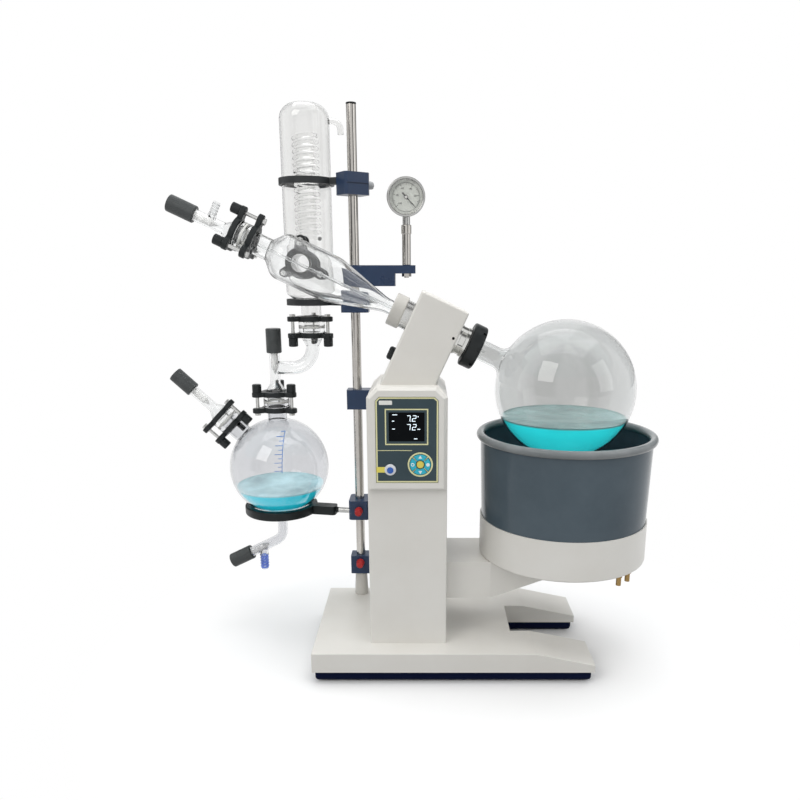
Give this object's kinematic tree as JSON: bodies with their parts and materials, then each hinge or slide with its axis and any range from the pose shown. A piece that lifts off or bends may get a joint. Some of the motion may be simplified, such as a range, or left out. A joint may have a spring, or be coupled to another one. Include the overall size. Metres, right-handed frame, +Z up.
{
  "type": "rotary evaporator",
  "caption": "Bench rotary evaporator: tilted drive head turning a round flask over a lifting heated bath, with vapour duct, coil condenser, receiving flask and vacuum gauge.",
  "frame": {"origin": "on the bench, under the middle of the base's rectangle", "axes": "+Z up; +X from the column to the water bath; -Y the front, with the control panel"},
  "size_m": [0.8287, 0.3639, 0.9043],
  "materials": {
    "cream_paint": "satin",
    "navy_paint": "satin",
    "pot_coating": "satin",
    "dark_plastic": "matte",
    "black_plastic": "matte",
    "beige_plastic": "matte",
    "red_plastic": "satin",
    "key_plastic": "satin",
    "key_yellow": "satin",
    "power_plastic": "gloss",
    "fascia_film": "satin",
    "display_glass": "gloss",
    "borosilicate": "clear",
    "gauge_glass": "clear",
    "steel": "brushed",
    "chrome": "polished",
    "machined_aluminium": "machined",
    "brass": "machined",
    "seal_rubber": "matte",
    "needle_enamel": "satin"
  },
  "bodies": {
    "stand": {"base_chassis": "navy_paint", "base_cover": "cream_paint", "column_shell": "cream_paint", "lift_frame": "steel", "lift_motor": "black_plastic", "panel_bezel": "cream_paint", "panel_fascia": "fascia_film", "display_window": "display_glass", "head_housing": "cream_paint", "cable_glands": "black_plastic", "drive_motor": "steel", "spindle_bearings": "steel", "vacuum_seal": "seal_rubber", "duct_socket": "steel", "duct_lock_nut": "beige_plastic", "vapour_duct": "borosilicate", "feed_inlet": "borosilicate", "condenser_jacket": "borosilicate", "condenser_coil": "borosilicate", "return_elbow": "borosilicate", "receiving_flask": "borosilicate", "vent_inlet": "borosilicate", "clamp_plates": "black_plastic", "clamp_bolts": "steel", "clamp_knobs": "black_plastic", "flange_seals": "seal_rubber", "support_rod": "chrome", "rod_socket": "beige_plastic", "rod_brackets": "navy_paint", "boss_clamps": "navy_paint", "clamp_screws": "red_plastic", "condenser_rings": "dark_plastic", "receiver_ring": "black_plastic", "gauge_arm": "navy_paint", "gauge_post": "chrome", "gauge_case": "chrome", "gauge_lens": "gauge_glass"},
    "rotor": {"spindle": "chrome", "drive_gear": "brass", "flask_clamp_nut": "black_plastic", "evaporating_flask": "borosilicate"},
    "pinion": {"drive_pinion": "steel"},
    "bath": {"lift_carriage": "machined_aluminium", "bath_arm": "cream_paint", "bath_skirt": "cream_paint", "bath_pot": "pot_coating", "bath_heater": "machined_aluminium", "bath_fittings": "brass"},
    "lead_screw": {"lift_screw": "steel"},
    "key_up": {"key_up": "key_plastic"},
    "key_right": {"key_right": "key_plastic"},
    "key_down": {"key_down": "key_plastic"},
    "key_left": {"key_left": "key_plastic"},
    "key_centre": {"key_centre": "key_yellow"},
    "power_button": {"power_button": "power_plastic"},
    "feed_valve": {"feed_valve": "dark_plastic"},
    "elbow_valve": {"elbow_valve": "dark_plastic"},
    "vent_valve": {"vent_valve": "dark_plastic"},
    "drain_valve": {"drain_valve": "dark_plastic"},
    "gauge_needle": {"gauge_needle": "needle_enamel"}
  },
  "joints": [
    {"name": "flask_spin", "type": "hinge", "parent": "stand", "child": "rotor", "pos_m": [-0.068, 0, 0.5692], "axis": [0.9063, 0, -0.4226], "continuous": true},
    {"name": "pinion_spin", "type": "hinge", "parent": "stand", "child": "pinion", "pos_m": [-0.08839, 0, 0.52547], "axis": [0.9063, 0, -0.4226], "continuous": true},
    {"name": "bath_lift", "type": "slide", "parent": "stand", "child": "bath", "axis": [0, 0, 1], "range_m": [-0.05, 0.05]},
    {"name": "screw_spin", "type": "hinge", "parent": "stand", "child": "lead_screw", "pos_m": [-0.075, 0, 0.18], "axis": [0, 0, 1], "range_deg": [-1801, 1801]},
    {"name": "key_up_press", "type": "slide", "parent": "stand", "child": "key_up", "axis": [0, 1, 0], "range_m": [0, 0.0008], "stiffness_N_per_m": 600},
    {"name": "key_right_press", "type": "slide", "parent": "stand", "child": "key_right", "axis": [0, 1, 0], "range_m": [0, 0.0008], "stiffness_N_per_m": 600},
    {"name": "key_down_press", "type": "slide", "parent": "stand", "child": "key_down", "axis": [0, 1, 0], "range_m": [0, 0.0008], "stiffness_N_per_m": 600},
    {"name": "key_left_press", "type": "slide", "parent": "stand", "child": "key_left", "axis": [0, 1, 0], "range_m": [0, 0.0008], "stiffness_N_per_m": 600},
    {"name": "key_centre_press", "type": "slide", "parent": "stand", "child": "key_centre", "axis": [0, 1, 0], "range_m": [0, 0.0008], "stiffness_N_per_m": 600},
    {"name": "power_press", "type": "slide", "parent": "stand", "child": "power_button", "axis": [0, 1, 0], "range_m": [0, 0.002], "stiffness_N_per_m": 500},
    {"name": "feed_valve_turn", "type": "hinge", "parent": "stand", "child": "feed_valve", "pos_m": [-0.32267, 0, 0.68796], "axis": [-0.9063, 0, 0.4226], "range_deg": [0, 540]},
    {"name": "elbow_valve_turn", "type": "hinge", "parent": "stand", "child": "elbow_valve", "pos_m": [-0.3117, 0.13, 0.498], "axis": [0, 0, 1], "range_deg": [0, 540]},
    {"name": "vent_valve_turn", "type": "hinge", "parent": "stand", "child": "vent_valve", "pos_m": [-0.40237, 0.13, 0.37799], "axis": [-0.7254, 0, 0.6884], "range_deg": [0, 540]},
    {"name": "drain_valve_turn", "type": "hinge", "parent": "stand", "child": "drain_valve", "pos_m": [-0.3117, 0.13, 0.15304], "axis": [-0.8988, 0, -0.4384], "range_deg": [0, 540]},
    {"name": "needle_swing", "type": "hinge", "parent": "stand", "child": "gauge_needle", "pos_m": [-0.076, 0.0885, 0.75634], "axis": [0, -1, 0], "range_deg": [0, 270]}
  ],
  "couplings": [
    {"joint": "pinion_spin", "follows": "flask_spin", "ratio": -3},
    {"joint": "screw_spin", "follows": "bath_lift", "rad_per_m": 628.32}
  ]
}
